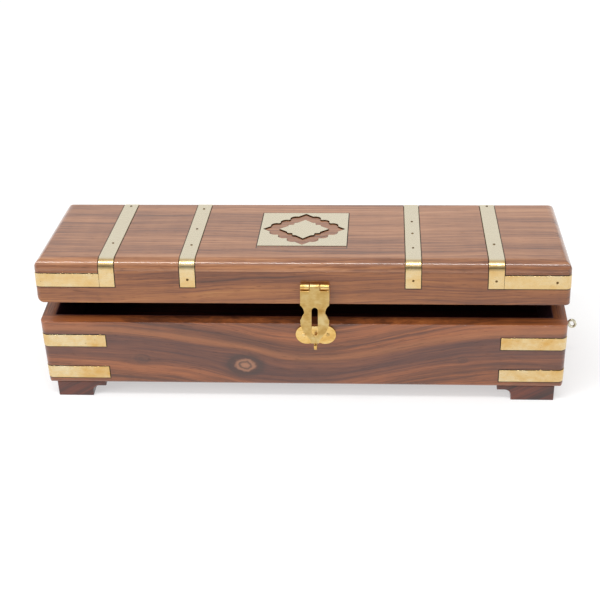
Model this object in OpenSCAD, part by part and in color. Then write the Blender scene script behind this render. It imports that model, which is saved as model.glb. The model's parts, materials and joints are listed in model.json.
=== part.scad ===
// Long hinged wooden box with a lid, bracket feet, inlaid brass bands and straps,
// a hasp and staple at the front, two butt hinges at the back and a small eye at each end.
// Millimetres. +Z is up, the front faces -Y, and the lid is drawn slightly raised.

/* [Box] */
// Length of the box, end to end
box_w = 300; // [250:1:360]
// Depth of the box, front to back
box_d = 92; // [76:1:120]
// Height of the base boards
base_h = 43; // [38:1:60]
// Height of the lid
lid_h = 26; // [24:1:36]
// Thickness of the wall boards
wall = 8; // [6.5:0.5:10]
// Thickness of the lid's top board
top_t = 6.5; // [6.5:0.5:8]
// Thickness of the floor board
floor_t = 5; // [3:0.5:8]
// Radius of the upright corners
corner_r = 3.5; // [2.5:0.5:6]
// Radius of the edges round the lid's top
edge_r = 6; // [3:0.5:6]
// Radius of the edges round the base's bottom
heel_r = 2.5; // [1:0.5:3.5]
// Radius of the lid's worn lower edge at the left end
lid_heel_r = 4; // [0.5:0.5:6]
// Gap between the rim and the closed lid
lid_gap = 0.3; // [0.3:0.1:1]
// Angle at which the lid stands open
lid_ajar = 7.7; // [0:0.1:30]

/* [Feet] */
// Height of the feet
foot_h = 10.2; // [6:0.1:20]
// Length of a left foot along the front, at its top
foot_left_len = 29; // [22:1:40]
// Length of a right foot along the front, at its top
foot_right_len = 33; // [22:1:40]
// Length of a foot along the end, at its top
foot_depth = 24; // [20:1:32]
// How far a foot stands in from the box's end
foot_end_inset = 4.5; // [1:0.5:6]
// How far a foot stands in from the box's front or back
foot_face_inset = 1.5; // [1:0.5:6]
// Height of the plain lip at a foot's top
foot_lip = 3; // [1.5:0.1:4]
// Step under the lip, measured along the foot
foot_step = 4.2; // [1:0.1:5]
// Radius of the hollow under the step
foot_cove = 4; // [2:0.5:4.5]

/* [Brass inlay] */
// Depth that brass is let into the wood
inlay_depth = 1.2; // [0.8:0.1:2]
// How far brass stands proud of the wood
inlay_proud = 0.15; // [0:0.05:0.4]
// Clearance round brass in its pocket
inlay_gap = 0.15; // [0.1:0.05:0.4]
// Width of a band over the lid
band_w = 8.6; // [6:0.1:12]
// Distance of the inner bands from the middle
band_inner_x = 63; // [45:0.5:75]
// Distance of the outer bands from the middle
band_outer_x = 108.7; // [95:0.1:112]
// Height of a band's ends and of the lid's straps above the lid's lower edge
band_end_z = 9.8; // [4:0.1:12]
// Height of a corner strap
strap_h = 8; // [5:0.1:10]
// Height of the lower straps above the base's bottom
strap_low_z = 4.1; // [3.5:0.1:6]
// Height of the upper straps above the base's bottom
strap_high_z = 26.2; // [18:0.1:28]
// Length of a strap along the front and the back
strap_len = 37; // [20:1:38]
// Length of a strap along the end
strap_end_len = 22; // [10:1:22]

/* [Medallion] */
// Side of the square plate in the lid's top
plate_side = 51; // [40:1:60]
// Distance of the plate behind the middle of the lid
plate_y = 1.5; // [-4:0.5:4]
// Half of the lozenge opening's length, from its centre to a point
lozenge_r = 24; // [16:0.5:24.5]
// How far the wood lies sunk in the lozenge
lozenge_sink = 0.5; // [0.1:0.1:0.8]
// Half of the star's length, from its centre to a point
star_r = 14.5; // [10:0.5:15]

/* [Pins] */
// Radius of a brass pin's shank
pin_r = 0.6; // [0.4:0.1:0.8]
// Radius of a brass pin's head
pin_head_r = 1.1; // [0.9:0.1:1.4]
// Length of a brass pin under its head
pin_len = 5; // [3:0.5:6]

/* [Hasp and staple] */
// Distance of the hasp to the right of the middle
hasp_x = 8.4; // [-10:0.1:10]
// Height of the hasp's pivot above the lid's lower edge
hasp_pivot_z = 11.5; // [10.5:0.1:14]
// Distance of the hasp's pivot in front of the lid
hasp_pivot_out = 2.2; // [2:0.1:3]
// Radius of the hasp's knuckles
hasp_knuckle_r = 1.8; // [1.5:0.1:2]
// Radius of the hasp's pin
hasp_pin_r = 0.6; // [0.5:0.1:0.8]
// Width of the hasp's strap at its knuckles
hasp_w = 16.2; // [14:0.1:20]
// Width of the middle knuckle
hasp_mid_w = 5.6; // [4:0.1:8]
// Thickness of the hasp's strap
hasp_t = 1.2; // [0.8:0.1:1.4]
// Length of the strap below its pivot
hasp_len = 32; // [31.5:0.5:36]
// Width of the strap's slot
slot_w = 3.5; // [2.8:0.1:5]
// Distance of the slot's upper end below the pivot
slot_top = 11.5; // [10:0.5:15]
// Distance of the slot's lower end below the pivot
slot_bottom = 27.5; // [26.5:0.5:28]
// Angle of the strap from the lid's face at rest
hasp_out = 12.3; // [2:0.1:40]
// Thickness of the hasp's leaf
leaf_t = 0.8; // [0.5:0.1:1]
// Distance of the staple below the rim
staple_z = 10.5; // [9:0.1:12]
// Thickness of the staple's tongue
staple_t = 1.7; // [1.2:0.1:2.2]
// Outer radius of the staple's eye
staple_r = 3; // [2.6:0.1:3.4]
// Radius of the hole through the staple
staple_hole_r = 1.5; // [1.2:0.1:1.8]
// Distance of the staple's hole in front of the base
staple_out = 5.4; // [4.8:0.1:5.6]
// Length of the staple's tongue in the wood
staple_root = 5; // [3:0.5:6]
// Length of the staple plate
staple_plate_w = 23; // [20:0.5:26]
// Height of the staple plate
staple_plate_h = 12.6; // [12:0.1:14]
// Thickness of the staple plate
staple_plate_t = 1; // [0.6:0.1:1.2]

/* [Hinges] */
// Distance of each hinge from the middle
hinge_x = 85.7; // [75:0.1:92]
// Length of a hinge
hinge_w = 25; // [18:0.5:28]
// Radius of a hinge's knuckles
hinge_knuckle_r = 1.9; // [1.6:0.1:2.2]
// Distance of the hinge's axis behind the box
hinge_out = 2.3; // [2.2:0.1:2.8]
// Radius of a hinge pin
hinge_pin_r = 0.8; // [0.6:0.1:1]
// Thickness of a hinge leaf
hinge_leaf_t = 1.2; // [0.8:0.1:1.4]
// Depth of a hinge leaf over the rim
hinge_leaf_d = 6.5; // [5:0.5:6.5]
// Radius of a hinge screw's shank
screw_r = 0.9; // [0.7:0.1:1]
// Radius of a hinge screw's head
screw_head_r = 1.7; // [1.4:0.1:1.8]
// Length of a hinge screw
screw_len = 8; // [5:0.5:10]

/* [End eyes] */
// Height of an eye's middle above the base's bottom
eye_z = 14; // [10:0.5:34]
// Distance of an eye's middle out from the box's end
eye_out = 9.4; // [5:0.1:12]
// Radius of an eye's wire
eye_wire_r = 0.8; // [0.6:0.1:1]
// Radius of an eye's bends, at the middle of the wire
eye_bend = 1.75; // [1.5:0.05:3]
// Length of the straights between an eye's bends
eye_straight = 1.4; // [1:0.1:3]
// Lean of an eye's top towards the box
eye_lean = 20; // [0:1:30]
// Radius of an eye's shank
eye_shank_r = 0.7; // [0.5:0.05:0.9]
// Length of an eye's shank in the wood
eye_root = 6; // [3:0.5:6]

/* [Fits] */
// Clearance between a pin and what turns on it
turn_gap = 0.05; // [0.03:0.01:0.1]
// Gap between the ends of neighbouring knuckles
knuckle_gap = 0.3; // [0.2:0.05:0.5]
// Clearance round a pin or screw in a brass plate
hole_gap = 0.1; // [0.05:0.05:0.2]

/* [Hidden] */
$fn = 48;
SIDES = [["left", -1], ["right", 1]];
ENDS = [["front", -1], ["back", 1]];
LEVELS = [["lower", strap_low_z], ["upper", strap_high_z]];
BANDS = [
    ["outer_left", -band_outer_x], ["inner_left", -band_inner_x],
    ["inner_right", band_inner_x], ["outer_right", band_outer_x]
];
WOOD = "#9a6650";
BRASS = "#d9b66c";
far = 4 * box_w;            // long enough to cut right through anything
over = 1;                   // how far a cutting tool runs past a face
rim_z = foot_h + base_h;
lid_z = rim_z + lid_gap;
frame_h = lid_h - top_t;    // height of the boards under the lid's top board
hinge_y = box_d / 2 + hinge_out;
hinge_z = rim_z + lid_gap / 2;
knuckle_w = (hinge_w - 2 * knuckle_gap) / 3;
hasp_y = -box_d / 2 - hasp_pivot_out;
hasp_leaf_low = 2;          // leaf's lower edge above the lid's lower edge
leaf_hole_z = 5.6;          // leaf's nails above the lid's lower edge
leaf_hole_x = 4.4;          // leaf's nails from the hasp's middle
plate_hole_x = 6.9;         // staple plate's nails from the hasp's middle
plate_hole_z = 6.6;         // staple plate's nails below the rim
plate_top_gap = 0.4;        // staple plate's top edge below the rim
hinge_screw_spread = 7.35;  // hinge screws from the hinge's middle
hinge_screw_back = 0.3;     // hinge screws in front of the leaf's middle
head_overlap = 0.01;        // how far a screw's shank runs into its head
plate_waist = 1.2;          // how much lower the staple plate is between its lobes
pin_clear = 0.1;            // play beside a band's pins where the band's place is looked for
belly_side = 0.15;          // hasp's belly inside its shoulders, at each side
belly_rise = 7.2;           // hasp's belly above the slot's lower end
waist_rise = 5.9;           // hasp's waist above its belly
tip_root_w = 13.2;          // hasp's tip where it leaves the belly
tip_root_drop = 4.9;        // the same place below the belly's middle
tip_side = 1.6;             // height of the upright sides of the hasp's tip

// Each band's pins: where they stand on the top, from the front to the back, and whether one
// stands in each of its upright ends too.
PIN_TOPS = [[-21, 38], [-23.5, 1, 33.5], [-26.5, -5, 13.5], [-21, 39]];
PIN_ENDS = [false, true, true, true];
pin_face_z = band_end_z + 4.7;
pin_strap_inset = 8;        // the right straps' pins from the box's corner

// Y and Z of a point in the YZ plane after the front of it has swung up through angle a.
function turned_y(y, z, a) = y * cos(a) + z * sin(a);
function turned_z(y, z, a) = z * cos(a) - y * sin(a);

// The tip of the strap is the foremost point, and a hinge knuckle or the lid's edge the hindmost.
tip_y = hasp_y + turned_y(-hasp_knuckle_r, -hasp_len, hasp_out);
tip_z = hasp_pivot_z + turned_z(-hasp_knuckle_r, -hasp_len, hasp_out);
foremost_y = hinge_y + turned_y(tip_y - hinge_y, tip_z + lid_gap / 2, lid_ajar);
lid_back_y = turned_y(-hinge_out, lid_h - edge_r + lid_gap / 2, lid_ajar);
hindmost_y = hinge_y + max(hinge_knuckle_r, lid_back_y);
centre_y = -(foremost_y + hindmost_y) / 2;   // brings the middle of the outline to y = 0

// ---------------------------------------------------------------- shapes

// Rectangle with its middle at the origin and all four corners round.
module rounded_rect(w, d, r) {
    square([w - 2 * r, d], center = true);
    square([w, d - 2 * r], center = true);
    for (x = [-1, 1], y = [-1, 1]) translate([x * (w / 2 - r), y * (d / 2 - r)]) circle(r);
}

// Rectangle that stands on the X axis with round upper corners.
module arch(w, h, r) {
    translate([-w / 2, 0]) square([w, h - r]);
    translate([-w / 2 + r, 0]) square([w - 2 * r, h]);
    for (x = [-1, 1]) translate([x * (w / 2 - r), h - r]) circle(r);
}

// Extrusion of a profile in Y and Z along X, or of one in X and Z along Y.
module along_x(length) { rotate([90, 0, 90]) linear_extrude(length, center = true) children(); }
module along_y(length) { rotate([90, 0, 0]) linear_extrude(length, center = true) children(); }

// Cylinders along X and along Y, centred on the origin.
module rod_x(r, length) { rotate([0, 90, 0]) cylinder(r = r, h = length, center = true); }
module rod_y(r, length) { rotate([90, 0, 0]) cylinder(r = r, h = length, center = true); }

// Block of wood that fills the base's or the lid's outside, with its edges round. The lid's lower
// left edge is worn round too.
module base_block(grow = 0) {
    translate([0, 0, foot_h]) intersection() {
        linear_extrude(base_h) rounded_rect(box_w + 2 * grow, box_d + 2 * grow, corner_r + grow);
        translate([0, 0, base_h]) rotate([180, 0, 0])
            along_x(far) arch(box_d + 2 * grow, base_h + grow, heel_r + grow);
        translate([0, 0, base_h]) rotate([180, 0, 0])
            along_y(far) arch(box_w + 2 * grow, base_h + grow, heel_r + grow);
    }
}
module lid_block() {
    difference() {
        intersection() {
            linear_extrude(lid_h) rounded_rect(box_w, box_d, corner_r);
            along_x(far) arch(box_d, lid_h, edge_r);
            along_y(far) arch(box_w, lid_h, edge_r);
        }
        translate([-box_w / 2, 0, 0]) along_y(far) difference() {
            translate([-over, -over]) square(lid_heel_r + over);
            translate([lid_heel_r, lid_heel_r]) circle(lid_heel_r);
        }
    }
}

// Puts what is drawn on a closed lid, with z = 0 at its lower edge, where the lid rests.
module on_lid() {
    translate([0, hinge_y, hinge_z]) rotate([-lid_ajar, 0, 0])
        translate([0, -hinge_y, lid_gap / 2]) children();
}

// Repeats what is drawn for the right or the back on the other side too.
module at_side(s) { mirror([s < 0 ? 1 : 0, 0, 0]) children(); }
module at_end(e) { mirror([0, e > 0 ? 1 : 0, 0]) children(); }

// ---------------------------------------------------------------- brass inlay

// Strap round the front right corner, from z up. grow widens it into its pocket.
module corner_strap(z, proud, grow = 0) {
    translate([0, 0, z - grow]) linear_extrude(strap_h + 2 * grow) intersection() {
        difference() {
            rounded_rect(box_w + 2 * proud, box_d + 2 * proud, corner_r + proud);
            rounded_rect(box_w - 2 * inlay_depth, box_d - 2 * inlay_depth, corner_r - inlay_depth);
        }
        translate([box_w / 2 - strap_len - grow, -box_d / 2 - 2 * over])
            square([strap_len + grow + 2 * over, strap_end_len + grow + 2 * over]);
    }
}

// Band over the lid, across its middle. grow widens it into its pocket.
module band(proud, grow = 0) {
    along_x(band_w + 2 * grow) difference() {
        arch(box_d + 2 * proud, lid_h + proud, edge_r + proud);
        arch(box_d - 2 * inlay_depth, lid_h - inlay_depth, edge_r - inlay_depth);
        translate([-box_d, -over]) square([2 * box_d, band_end_z + over - grow]);
    }
}

// Shank and head of a brass pin driven down onto z = 0.
module pin_shank(r = pin_r, length = pin_len) { translate([0, 0, -length]) cylinder(r = r, h = length); }
module pin_head(r = pin_head_r) {
    rise = 0.55 * r;
    ball = (r * r + rise * rise) / (2 * rise);
    rotate_extrude() intersection() {
        translate([0, rise - ball]) circle(ball);
        square([r, rise]);
    }
}
module pin() {
    pin_shank();
    pin_head();
}

// Turns a pin to stand out of the front, the back or an end.
module out_of_end(e) { rotate([e < 0 ? 90 : -90, 0, 0]) children(); }

// Every place of a pin in the lid's brass.
module at_lid_pins() {
    for (i = [0 : 3]) {
        for (y = PIN_TOPS[i]) translate([BANDS[i][1], y, lid_h + inlay_proud]) children();
        if (PIN_ENDS[i])
            for (e = ENDS) translate([BANDS[i][1], e[1] * (box_d / 2 + inlay_proud), pin_face_z])
                out_of_end(e[1]) children();
    }
    for (e = ENDS)
        translate([
            box_w / 2 - pin_strap_inset,
            e[1] * (box_d / 2 + inlay_proud),
            band_end_z + strap_h / 2
        ]) out_of_end(e[1]) children();
}

// ---------------------------------------------------------------- base

// What is cut out of the base's boards for everything that is let into them.
module base_cuts() {
    for (l = LEVELS, s = SIDES, e = ENDS)
        at_side(s[1]) at_end(e[1]) corner_strap(foot_h + l[1], over, inlay_gap);
    for (s = SIDES) {
        translate([s[1] * hinge_x, 0, 0]) {
            lower_leaf_plate(inlay_gap);
            lower_screw_shanks();
        }
        at_eye(s[1]) eye_shank();
    }
    at_staple() staple_tongue();
    at_plate_nails() pin_shank();
}

module base_front_board() {
    color(WOOD) difference() {
        intersection() {
            base_block();
            translate([-far / 2, -box_d / 2 - over, 0]) cube([far, wall + over, far]);
        }
        base_cuts();
    }
}
module base_back_board() {
    color(WOOD) difference() {
        intersection() {
            base_block();
            translate([-far / 2, box_d / 2 - wall, 0]) cube([far, wall + over, far]);
        }
        base_cuts();
    }
}
module base_end_board(s) {
    color(WOOD) difference() {
        intersection() {
            base_block();
            translate([s * (box_w - wall + over) / 2, 0, 0])
                cube([wall + over, box_d - 2 * wall, far], center = true);
        }
        base_cuts();
    }
}
module base_floor() {
    color(WOOD) translate([0, 0, foot_h + floor_t / 2])
        cube([box_w - 2 * wall, box_d - 2 * wall, floor_t], center = true);
}

// Outline of a foot from its outer edge inwards, seen from the front or from the end.
module foot_outline(length) {
    square([length - foot_step - foot_cove, foot_h]);
    translate([0, foot_h - foot_lip]) square([length, foot_lip]);
    difference() {
        square([length - foot_step, foot_h - foot_lip / 2]);
        translate([length - foot_step, foot_h - foot_lip - foot_cove]) circle(foot_cove);
        translate([length - foot_step - foot_cove, -over])
            square([foot_cove + over, foot_h - foot_lip - foot_cove + over]);
    }
}
module foot(s, e) {
    color(WOOD) at_side(s) at_end(e) intersection() {
        translate([box_w / 2 - foot_end_inset, 0, 0]) mirror([1, 0, 0])
            along_y(far) foot_outline(s < 0 ? foot_left_len : foot_right_len);
        translate([0, -box_d / 2 + foot_face_inset, 0]) along_x(far) foot_outline(foot_depth);
    }
}

module base_strap(s, e, z) {
    color(BRASS) at_side(s) at_end(e) corner_strap(foot_h + z, inlay_proud);
}

// ---------------------------------------------------------------- staple

module at_staple() { translate([hasp_x, -box_d / 2, rim_z - staple_z]) children(); }
module staple_tongue(grow = 0) {
    translate([0, -staple_out, 0]) rod_x(staple_r + grow, staple_t + 2 * grow);
    translate([0, (staple_root - staple_out) / 2, 0])
        cube([staple_t + 2 * grow, staple_out + staple_root, 2 * (staple_r + grow)], center = true);
}
module staple() {
    color(BRASS) at_staple() difference() {
        staple_tongue();
        translate([0, -staple_out, 0]) rod_x(staple_hole_r, far);
    }
}
module at_plate_nails() {
    for (x = [-1, 1])
        translate([hasp_x + x * plate_hole_x, -box_d / 2 - staple_plate_t, rim_z - plate_hole_z])
            out_of_end(-1) children();
}
module staple_plate() {
    lobe = staple_plate_h / 2;
    color(BRASS) difference() {
        translate([hasp_x, -box_d / 2 - staple_plate_t / 2, rim_z - plate_top_gap - lobe])
            along_y(staple_plate_t) {
                for (x = [-1, 1]) translate([x * (staple_plate_w / 2 - lobe), 0]) circle(lobe);
                square([staple_plate_w - 2 * lobe, 2 * lobe - plate_waist], center = true);
            }
        at_staple() staple_tongue(hole_gap);
        at_plate_nails() pin_shank(pin_r + hole_gap, 2 * pin_len);
    }
}
module staple_plate_nails() { color(BRASS) at_plate_nails() pin(); }

// ---------------------------------------------------------------- hinges

// Countersunk screw whose head is flush with z = 0 and whose point is below it.
module screw(grow = 0) {
    head_h = screw_head_r - screw_r;
    translate([0, 0, -head_h])
        cylinder(r1 = screw_r + grow, r2 = screw_head_r + grow, h = head_h);
    translate([0, 0, -screw_len]) cylinder(r = screw_r + grow, h = screw_len - head_h + head_overlap);
}
module at_hinge_screws() {
    for (x = [-1, 1])
        translate([x * hinge_screw_spread, box_d / 2 - hinge_leaf_d / 2 - hinge_screw_back, 0]) children();
}
module lower_screw_shanks() { at_hinge_screws() translate([0, 0, rim_z]) screw(); }
module upper_screw_shanks() { at_hinge_screws() mirror([0, 0, 1]) screw(); }

// Leaf let into the rim, from its inner edge to the pin's axis.
module lower_leaf_plate(grow = 0) {
    length = hinge_leaf_d + hinge_out + grow;
    translate([-hinge_w / 2 - grow, hinge_y - length, rim_z - hinge_leaf_t])
        cube([hinge_w + 2 * grow, length, hinge_leaf_t + (grow > 0 ? over : 0)]);
}
module upper_leaf_plate(grow = 0) {
    length = hinge_leaf_d + hinge_out + grow;
    low = grow > 0 ? over : 0;
    translate([-hinge_w / 2 - grow, hinge_y - length, -low])
        cube([hinge_w + 2 * grow, length, hinge_leaf_t + low]);
}

module hinge_lower_leaf(s) {
    free_w = knuckle_w + 2 * knuckle_gap;
    color(BRASS) translate([s * hinge_x, 0, 0]) difference() {
        union() {
            lower_leaf_plate();
            translate([0, hinge_y, hinge_z]) rod_x(hinge_knuckle_r, hinge_w);
        }
        translate([0, hinge_y, hinge_z])
            cube([free_w, 2 * (hinge_knuckle_r + knuckle_gap), far], center = true);
        translate([0, hinge_y, hinge_z]) rod_x(hinge_pin_r, far);
        at_hinge_screws() translate([0, 0, rim_z]) screw(hole_gap);
        translate([-far / 2, 0, rim_z]) cube([far, box_d / 2, far]);
    }
}
module hinge_pin(s) {
    color(BRASS) translate([s * hinge_x, hinge_y, hinge_z]) rod_x(hinge_pin_r, hinge_w);
}
module hinge_lower_screws() {
    color(BRASS) for (s = SIDES) translate([s[1] * hinge_x, 0, 0]) lower_screw_shanks();
}
module hinge_upper_leaf(s) {
    axis_z = -lid_gap / 2;
    side_w = knuckle_w + knuckle_gap;
    color(BRASS) on_lid() translate([s * hinge_x, 0, 0]) difference() {
        union() {
            upper_leaf_plate();
            translate([0, hinge_y, axis_z]) rod_x(hinge_knuckle_r, knuckle_w);
        }
        for (x = [-1, 1]) translate([x * (hinge_w - side_w) / 2 + x * over, hinge_y, axis_z])
            cube([side_w + 2 * over, 2 * (hinge_knuckle_r + knuckle_gap), far], center = true);
        translate([0, hinge_y, axis_z]) rod_x(hinge_pin_r + turn_gap, far);
        at_hinge_screws() mirror([0, 0, 1]) screw(hole_gap);
        translate([-far / 2, 0, -far]) cube([far, box_d / 2, far]);
    }
}
module hinge_upper_screws() {
    color(BRASS) on_lid() for (s = SIDES) translate([s[1] * hinge_x, 0, 0]) upper_screw_shanks();
}

// ---------------------------------------------------------------- lid

// What is cut out of the lid's boards for everything that is let into them.
module lid_cuts() {
    for (b = BANDS) translate([b[1], 0, 0]) band(over, inlay_gap);
    for (s = SIDES, e = ENDS) at_side(s[1]) at_end(e[1]) corner_strap(band_end_z, over, inlay_gap);
    at_lid_pins() pin_shank();
    for (s = SIDES) translate([s[1] * hinge_x, 0, 0]) {
        upper_leaf_plate(inlay_gap);
        upper_screw_shanks();
    }
    at_leaf_nails() pin_shank();
    medallion_pocket();
}

module lid_board(low, high) {
    color(WOOD) on_lid() difference() {
        intersection() {
            lid_block();
            translate(low) cube(high - low);
        }
        lid_cuts();
    }
}
module lid_top_board() { lid_board([-far, -far, frame_h], [far, far, far]); }
module lid_front_board() { lid_board([-far, -far, 0], [far, wall - box_d / 2, frame_h]); }
module lid_back_board() { lid_board([-far, box_d / 2 - wall, 0], [far, far, frame_h]); }
module lid_end_board(s) {
    inner = box_w / 2 - wall;
    low_x = s < 0 ? -far : inner;
    high_x = s < 0 ? -inner : far;
    lid_board([low_x, wall - box_d / 2, 0], [high_x, box_d / 2 - wall, frame_h]);
}
module lid_band(x) {
    color(BRASS) on_lid() difference() {
        translate([x, 0, 0]) band(inlay_proud);
        at_lid_pins() pin_shank(pin_r + hole_gap, 2 * pin_len);
    }
}
module lid_strap(s, e) {
    color(BRASS) on_lid() difference() {
        at_side(s) at_end(e) corner_strap(band_end_z, inlay_proud);
        for (b = BANDS) translate([b[1], 0, 0]) cube([band_w + 2 * pin_clear, far, far], center = true);
        at_lid_pins() pin_shank(pin_r + hole_gap, 2 * pin_len);
    }
}
module lid_pins() { color(BRASS) on_lid() at_lid_pins() pin(); }

// ---------------------------------------------------------------- medallion

// Lozenge whose sides each swell into three scallops.
module lozenge(r) {
    rotate(45) square(r * sqrt(2), center = true);
    for (a = [0 : 90 : 270], t = [-1, 0, 1])
        rotate(a) translate([r * (0.46 + 0.225 * t), r * (0.46 - 0.225 * t)]) circle(r * 0.142);
}
// Star of four points, with two teeth and a notch between neighbouring points.
module star(r) {
    for (a = [0 : 90 : 270])
        rotate(a) polygon(r * [
            [0, 0], [1, 0], [0.67, 0.3], [0.65, 0.43], [0.45, 0.45], [0.43, 0.65], [0.3, 0.67], [0, 1]
        ]);
}
module medallion_level(depth, height) {
    translate([0, plate_y, lid_h - depth]) linear_extrude(height) children();
}
module medallion_pocket() {
    medallion_level(inlay_depth, inlay_depth + over) difference() {
        square(plate_side + 2 * inlay_gap, center = true);
        lozenge(lozenge_r - inlay_gap);
    }
    medallion_level(inlay_depth, inlay_depth + over) star(star_r + inlay_gap);
    medallion_level(lozenge_sink, lozenge_sink + over) lozenge(lozenge_r);
}
module medallion_plate() {
    color(BRASS) on_lid() medallion_level(inlay_depth, inlay_depth + inlay_proud) difference() {
        square(plate_side, center = true);
        lozenge(lozenge_r);
    }
}
module medallion_star() {
    color(BRASS) on_lid() medallion_level(inlay_depth, inlay_depth + inlay_proud) star(star_r);
}

// ---------------------------------------------------------------- hasp

// Puts what is drawn round the hasp's pivot, hanging along -Z, on the closed lid.
module at_hasp() { translate([hasp_x, hasp_y, hasp_pivot_z]) children(); }
module at_leaf_nails() {
    for (x = [-1, 1])
        translate([hasp_x + x * leaf_hole_x, -box_d / 2 - leaf_t, leaf_hole_z]) out_of_end(-1) children();
}
module hasp_leaf() {
    color(BRASS) on_lid() difference() {
        union() {
            translate([hasp_x - hasp_w / 2, -box_d / 2 - leaf_t, hasp_leaf_low])
                cube([hasp_w, leaf_t, hasp_pivot_z - hasp_leaf_low]);
            at_hasp() rod_x(hasp_knuckle_r, hasp_w);
            at_hasp() translate([0, hasp_pivot_out / 2, (leaf_t - hasp_knuckle_r) / 2])
                cube([hasp_w, hasp_pivot_out, hasp_knuckle_r - leaf_t], center = true);
        }
        at_hasp()
            cube([hasp_mid_w + 2 * knuckle_gap, far, 2 * (hasp_knuckle_r + knuckle_gap)], center = true);
        at_hasp() rod_x(hasp_pin_r, far);
        at_leaf_nails() pin_shank(pin_r + hole_gap, 2 * pin_len);
    }
}
module hasp_leaf_nails() { color(BRASS) on_lid() at_leaf_nails() pin(); }
module hasp_pin() { color(BRASS) on_lid() at_hasp() rod_x(hasp_pin_r, hasp_w); }

// Outline of the strap: wide under the knuckles, a waist, a round belly and a narrow tip.
module hasp_outline() {
    belly_r = hasp_w / 2 - belly_side;
    belly_y = slot_bottom - belly_rise;
    waist_y = belly_y - waist_rise;
    waist_r = 5;
    waist_w = 0.73 * hasp_w;
    tip_w = 4.8;
    translate([0, -belly_y]) circle(belly_r);
    difference() {
        translate([-hasp_w / 2, -belly_y]) square([hasp_w, belly_y - hasp_knuckle_r - knuckle_gap]);
        for (x = [-1, 1]) translate([x * (waist_w / 2 + waist_r), -waist_y]) circle(waist_r);
    }
    polygon([
        [-tip_root_w / 2, -belly_y - tip_root_drop], [tip_root_w / 2, -belly_y - tip_root_drop],
        [tip_w / 2, -hasp_len + tip_side], [tip_w / 2, -hasp_len],
        [-tip_w / 2, -hasp_len], [-tip_w / 2, -hasp_len + tip_side]
    ]);
}
module hasp_strap() {
    outer = -hasp_knuckle_r;      // the strap's outer face is level with the knuckles
    color(BRASS) on_lid() at_hasp() rotate([-hasp_out, 0, 0]) difference() {
        union() {
            translate([0, outer + hasp_t / 2, 0]) along_y(hasp_t) hasp_outline();
            rod_x(hasp_knuckle_r, hasp_mid_w);
            translate([-hasp_mid_w / 2, outer, -hasp_knuckle_r - over])
                cube([hasp_mid_w, hasp_t, hasp_knuckle_r + over]);
        }
        rod_x(hasp_pin_r + turn_gap, far);
        translate([0, outer, 0]) along_y(far) translate([0, -(slot_top + slot_bottom) / 2]) {
            square([slot_w, slot_bottom - slot_top - slot_w], center = true);
            for (y = [-1, 1])
                translate([0, y * (slot_bottom - slot_top - slot_w) / 2]) circle(slot_w / 2);
        }
    }
}

// ---------------------------------------------------------------- end eyes

// Puts what is drawn round an eye's middle, with +X out of the end, on the left or the right one.
module at_eye(s) { at_side(s) translate([box_w / 2 + eye_out, 0, foot_h + eye_z]) children(); }
module eye_shank() {
    ring_x = eye_bend / cos(eye_lean);
    translate([-(ring_x + eye_out + eye_root) / 2, 0, 0]) rod_x(eye_shank_r, eye_out + eye_root - ring_x);
}
module end_eye(s) {
    color(BRASS) at_eye(s) {
        eye_shank();
        rotate([0, -eye_lean, 0]) {
            for (x = [-1, 1]) translate([x * eye_bend, 0, -eye_straight / 2])
                cylinder(r = eye_wire_r, h = eye_straight);
            for (z = [-1, 1]) translate([0, 0, z * eye_straight / 2]) rotate([90 * z, 0, 0])
                rotate_extrude(angle = 180) translate([eye_bend, 0]) circle(eye_wire_r);
        }
    }
}

// ---------------------------------------------------------------- assembly

module show(name) { translate([0, centre_y, 0]) children(); }

show("base_front_board") base_front_board();
show("base_back_board") base_back_board();
show("base_left_board") base_end_board(-1);
show("base_right_board") base_end_board(1);
show("base_floor") base_floor();
for (e = ENDS, s = SIDES) show(str("foot_", e[0], "_", s[0])) foot(s[1], e[1]);
for (l = LEVELS, e = ENDS, s = SIDES)
    show(str("base_strap_", l[0], "_", e[0], "_", s[0])) base_strap(s[1], e[1], l[1]);
show("staple_plate") staple_plate();
show("staple") staple();
show("staple_plate_nails") staple_plate_nails();
for (s = SIDES) show(str("hinge_lower_leaf_", s[0])) hinge_lower_leaf(s[1]);
for (s = SIDES) show(str("hinge_pin_", s[0])) hinge_pin(s[1]);
show("hinge_lower_screws") hinge_lower_screws();
for (s = SIDES) show(str("end_eye_", s[0])) end_eye(s[1]);
show("lid_top_board") lid_top_board();
show("lid_front_board") lid_front_board();
show("lid_back_board") lid_back_board();
show("lid_left_board") lid_end_board(-1);
show("lid_right_board") lid_end_board(1);
for (b = BANDS) show(str("lid_band_", b[0])) lid_band(b[1]);
for (e = ENDS, s = SIDES) show(str("lid_strap_", e[0], "_", s[0])) lid_strap(s[1], e[1]);
show("lid_pins") lid_pins();
show("medallion_plate") medallion_plate();
show("medallion_star") medallion_star();
for (s = SIDES) show(str("hinge_upper_leaf_", s[0])) hinge_upper_leaf(s[1]);
show("hinge_upper_screws") hinge_upper_screws();
show("hasp_leaf") hasp_leaf();
show("hasp_leaf_nails") hasp_leaf_nails();
show("hasp_pin") hasp_pin();
show("hasp_strap") hasp_strap();
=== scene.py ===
# %% [markdown]
# A long keepsake box of sheesham wood, bound and inlaid with brass.
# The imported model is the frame: every board, strap, pin and hinge is already in its place and
# already moves. This script gives them their finish. It refines copies of the boards and the
# brass, makes the pins, nails and screws anew, and mixes the wood and the metal from noise.
# Lengths are metres, +Z is up, and the box's front faces -Y.

# %% Load the frame
import json
import math

import bmesh
import bpy
import numpy as np
from mathutils import Matrix, Vector

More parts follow.
